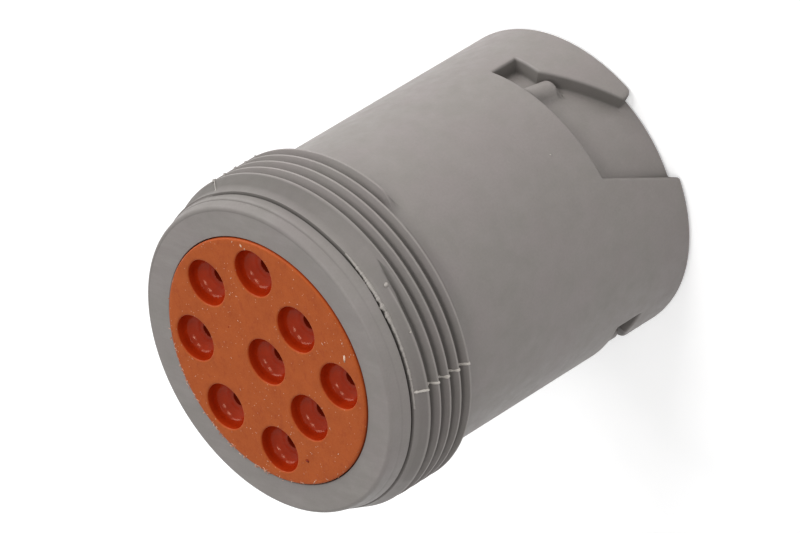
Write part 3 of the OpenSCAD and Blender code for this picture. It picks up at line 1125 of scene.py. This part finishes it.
class Recipe:
    """A material's node tree, built in small steps."""

    def __init__(self, name):
        self.material = bpy.data.materials.new(name)
        self.material.use_nodes = True
        self.tree = self.material.node_tree
        self.shader = self.tree.nodes["Principled BSDF"]
        self.place = self.add("ShaderNodeTexCoord").outputs["Object"]

    def add(self, kind, inputs=None, **settings):
        """Adds a node; inputs says what to feed to its sockets, by name or number."""
        node = self.tree.nodes.new(kind)
        for key, value in settings.items():
            setattr(node, key, value)
        for key, source in (inputs or {}).items():
            self.feed(node.inputs[key], source)
        return node

    def feed(self, socket, source):
        """Links a socket to another node's output, or sets it to a value."""
        if isinstance(source, bpy.types.NodeSocket):
            self.tree.links.new(source, socket)
        elif socket.type == "RGBA":
            socket.default_value = (*source, 1.0)
        else:
            socket.default_value = source

    def noise(self, size, detail=3.0, roughness=0.5, stretch=None):
        """Noise from 0 to 1 with features about size millimetres across."""
        place = self.place
        if stretch:
            place = self.add("ShaderNodeMapping", {"Vector": place, "Scale": stretch}).outputs["Vector"]
        node = self.add("ShaderNodeTexNoise", {
            "Vector": place, "Scale": 1 / (size * METRES), "Detail": detail, "Roughness": roughness
        })
        return node.outputs["Fac"]

    def specks(self, size, radius):
        """1 inside scattered round specks about size millimetres apart, 0 between them."""
        node = self.add("ShaderNodeTexVoronoi", {"Vector": self.place, "Scale": 1 / (size * METRES)})
        return self.span(node.outputs["Distance"], radius, radius * 0.6)

    def span(self, source, low, high, to_low=0.0, to_high=1.0):
        """Maps a value from one span to another and holds it at the ends."""
        node = self.add("ShaderNodeMapRange", {
            "Value": source, "From Min": low, "From Max": high, "To Min": to_low, "To Max": to_high
        }, clamp=True)
        return node.outputs["Result"]

    def mix(self, factor, a, b):
        return self.add("ShaderNodeMix", {0: factor, 6: a, 7: b}, data_type="RGBA").outputs[2]

    def math(self, operation, a, b):
        return self.add("ShaderNodeMath", {0: a, 1: b}, operation=operation).outputs[0]

    def paint(self):
        return self.add("ShaderNodeAttribute", attribute_name="paint").outputs["Fac"]

    def facing_up(self):
        """1 where the surface faces up along the part's axis, 0 elsewhere."""
        facing = self.add("ShaderNodeTexCoord").outputs["Normal"]
        normal = self.add("ShaderNodeSeparateXYZ", {0: facing})
        return self.span(normal.outputs["Z"], 0.9, 0.99)

    def bump(self, height, depth, under=None):
        """Bump of a depth in millimetres, over another bump."""
        node = self.add("ShaderNodeBump", {"Height": height, "Distance": depth * METRES})
        if under:
            self.feed(node.inputs["Normal"], under)
        return node.outputs["Normal"]

    def finish(self, colour, roughness, normal, **others):
        """Feeds the shader, with its other sockets by name, and returns the material."""
        sources = {"base_color": colour, "roughness": roughness, "normal": normal, **others}
        for name, source in sources.items():
            socket = name.replace("_", " ").title().replace("Ior", "IOR")
            self.feed(self.shader.inputs[socket], source)
        return self.material


def shell_plastic():
    r = Recipe("shell_plastic")
    cloud = r.noise(2.2, detail=5, roughness=0.6)
    tint = r.noise(5.5, detail=2)
    grain = r.noise(0.22)
    streaks = r.noise(1.4, detail=4, stretch=(0.35, 1.6, 1))
    colour = r.mix(r.span(cloud, 0.35, 0.65), (0.198, 0.181, 0.167), (0.217, 0.197, 0.185))
    colour = r.mix(r.span(tint, 0.4, 0.62, 0, 0.5), colour, (0.220, 0.191, 0.186))
    colour = r.mix(r.span(grain, 0.3, 0.7, 0, 0.2), colour, (0.15, 0.135, 0.125))
    dust = r.math("MULTIPLY", r.facing_up(), r.span(streaks, 0.45, 0.75, 0, 0.14))
    colour = r.mix(dust, colour, (0.36, 0.35, 0.32))
    # Pale seams, fin, torn edge and flakes, and the painted highlight on the thread's crests
    colour = r.mix(r.span(r.paint(), 0.0, 1.0, 0, 0.75), colour, (0.56, 0.52, 0.47))
    # Painted shade in the tracks, on the thread, the land and the nose, and in the grooves behind it
    colour = r.mix(r.span(r.paint(), 0.0, -1.0, 0, 0.75), colour, (0.062, 0.057, 0.05))
    roughness = r.span(r.noise(1.3, detail=4), 0.3, 0.7, 0.44, 0.56)
    roughness = r.math("ADD", roughness, r.span(r.paint(), 0.0, -1.0, 0, 0.35))
    normal = r.bump(cloud, 0.012)
    normal = r.bump(grain, 0.006, normal)
    return r.finish(colour, roughness, normal, ior=1.5)


def seal_rubber():
    r = Recipe("seal_rubber")
    cloud = r.noise(1.6, detail=5, roughness=0.6)
    grain = r.noise(0.14, detail=2)
    deep = r.mix(r.span(cloud, 0.35, 0.65), (0.29, 0.017, 0.002), (0.35, 0.024, 0.003))
    dusty = r.mix(r.span(cloud, 0.3, 0.7), (0.318, 0.060, 0.0105), (0.375, 0.077, 0.0145))
    dusty = r.mix(r.span(grain, 0.35, 0.7, 0, 0.3), dusty, (0.42, 0.110, 0.030))
    scuffs = r.noise(0.6, detail=4, roughness=0.7, stretch=(1, 0.6, 1))
    dusty = r.mix(r.span(scuffs, 0.54, 0.68, 0, 0.45), dusty, (0.27, 0.040, 0.010))
    dusty = r.mix(r.specks(0.55, 0.12), dusty, (0.50, 0.25, 0.15))
    paint = r.paint()
    colour = r.mix(r.span(paint, 0.0, 1.0), deep, dusty)
    colour = r.mix(r.span(paint, 1.0, 1.6), colour, (0.75, 0.58, 0.45))
    # Dark crumbs, and painted shade in the throat of each hole
    colour = r.mix(r.span(paint, 0.0, -1.0, 0, 0.97), colour, (0.155, 0.010, 0.003))
    roughness = r.span(paint, 0.0, 1.0, 0.17, 0.6)
    normal = r.bump(cloud, 0.015)
    normal = r.bump(grain, 0.006, normal)
    warm = (1.0, 0.6, 0.42)
    return r.finish(colour, roughness, normal, ior=1.43, specular_ior_level=0.36, specular_tint=warm)


def insert_plastic():
    r = Recipe("insert_plastic")
    cloud = r.noise(1.8, detail=4)
    grain = r.noise(0.2)
    colour = r.mix(r.span(cloud, 0.3, 0.7), (0.020, 0.020, 0.022), (0.036, 0.035, 0.036))
    colour = r.mix(r.span(grain, 0.55, 0.8, 0, 0.4), colour, (0.07, 0.068, 0.066))
    roughness = r.span(cloud, 0.3, 0.7, 0.42, 0.58)
    normal = r.bump(grain, 0.01)
    return r.finish(colour, roughness, normal, ior=1.5)


def contact_nickel():
    r = Recipe("contact_nickel")
    turned = r.noise(0.05, detail=2, stretch=(0.02, 0.02, 1))
    cloud = r.noise(0.9)
    colour = r.mix(r.span(cloud, 0.3, 0.7), (0.56, 0.53, 0.48), (0.66, 0.64, 0.60))
    roughness = r.span(turned, 0.3, 0.7, 0.22, 0.38)
    normal = r.bump(turned, 0.003)
    return r.finish(colour, roughness, normal, metallic=1.0)


def dress(piece, material, replaced=None):
    """Gives a new piece its material and body, and hides the solid it stands for."""
    piece.data.materials.append(material)
    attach(piece, "root")
    if replaced:
        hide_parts(replaced)


def recoat(node, material):
    """Puts a material on a solid that keeps its shape."""
    slots = bpy.data.objects[node].material_slots
    for slot in slots:
        slot.material = material
    if not slots:
        bpy.data.objects[node].data.materials.append(material)


def make_camera():
    """The camera at the photograph's viewing angle."""
    place = Vector(CAMERA_PLACE) * METRES
    data = bpy.data.cameras.new("camera")
    data.lens = CAMERA_LENS
    data.clip_start = 0.05
    camera = add_object("camera", data)
    rows = zip(CAMERA_ACROSS, CAMERA_UP, CAMERA_BACK, place)
    camera.matrix_world = Matrix([*rows, (0, 0, 0, 1)])
    bpy.context.scene.camera = camera


def make_lamp(name, direction, distance, size, power):
    """A soft square lamp that faces the middle of the part from a direction."""
    data = bpy.data.lights.new(name, "AREA")
    data.size = size
    data.energy = power
    lamp = add_object(name, data)
    away = Vector(direction).normalized()
    lamp.location = away * distance + Vector(LAMP_TARGET)
    lamp.rotation_euler = away.to_track_quat("Z", "Y").to_euler()


def seen_directly(tree):
    """1 for rays that come from the camera, a reflection or a clear surface."""
    rays = tree.nodes.new("ShaderNodeLightPath")
    total = rays.outputs["Is Camera Ray"]
    for name in ("Is Glossy Ray", "Is Transmission Ray"):
        either = tree.nodes.new("ShaderNodeMath")
        either.operation = "MAXIMUM"
        tree.links.new(total, either.inputs[0])
        tree.links.new(rays.outputs[name], either.inputs[1])
        total = either.outputs[0]
    return total


def make_world():
    """White surroundings, a little dimmer for the light that they throw."""
    world = bpy.data.worlds.new("studio")
    world.use_nodes = True
    tree = world.node_tree
    background = tree.nodes["Background"]
    background.inputs["Color"].default_value = (1, 1, 1, 1)
    strength = tree.nodes.new("ShaderNodeMapRange")
    strength.inputs["To Min"].default_value = AMBIENT
    strength.inputs["To Max"].default_value = 1.0
    tree.links.new(seen_directly(tree), strength.inputs["Value"])
    tree.links.new(strength.outputs["Result"], background.inputs["Strength"])
    bpy.context.scene.world = world


def make_floor():
    """Pale floor under the rim, which the camera sees as white where no shadow falls."""
    mesh = bpy.data.meshes.new("floor")
    corners = ((-1, -1), (1, -1), (1, 1), (-1, 1))
    points = [(FLOOR_HALF * x, FLOOR_HALF * y, -FLOOR_DEPTH) for x, y in corners]
    mesh.from_pydata(points, [], [(0, 1, 2, 3)])
    floor = add_object("floor", mesh)
    r = Recipe("floor_paper")
    paper = r.noise(6)
    colour = r.mix(r.span(paper, 0.3, 0.7), (0.80, 0.80, 0.80), (0.83, 0.83, 0.83))
    glow = r.math("MULTIPLY", seen_directly(r.tree), FLOOR_GLOW)
    normal = r.bump(paper, 0.02)
    mesh.materials.append(r.finish(colour, 0.9, normal, emission_color=(1, 1, 1), emission_strength=glow))
    floor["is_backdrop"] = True


make_camera()
make_world()
make_floor()
for name, settings in LAMPS.items():
    make_lamp(name, *settings)

plastic = shell_plastic()
rubber = seal_rubber()
black = insert_plastic()
nickel = contact_nickel()

dress(make_shell(), plastic, "shell")
dress(make_flash(), plastic)
dress(make_wire_seal(), rubber, "wire_seal")
dress(make_fibres(), rubber)
dress(make_interface_seal(), rubber, "interface_seal")
recoat("contact_retainer", black)
recoat("front_insert", black)
for letter in "abcdefghj":
    recoat("contact_" + letter, nickel)

bpy.context.scene.view_settings.view_transform = "Standard"

bpy.context.view_layer.update()
boxes = {"cad": cad_box, "visual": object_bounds()}
{key: [list(corner) for corner in box] for key, box in boxes.items()}
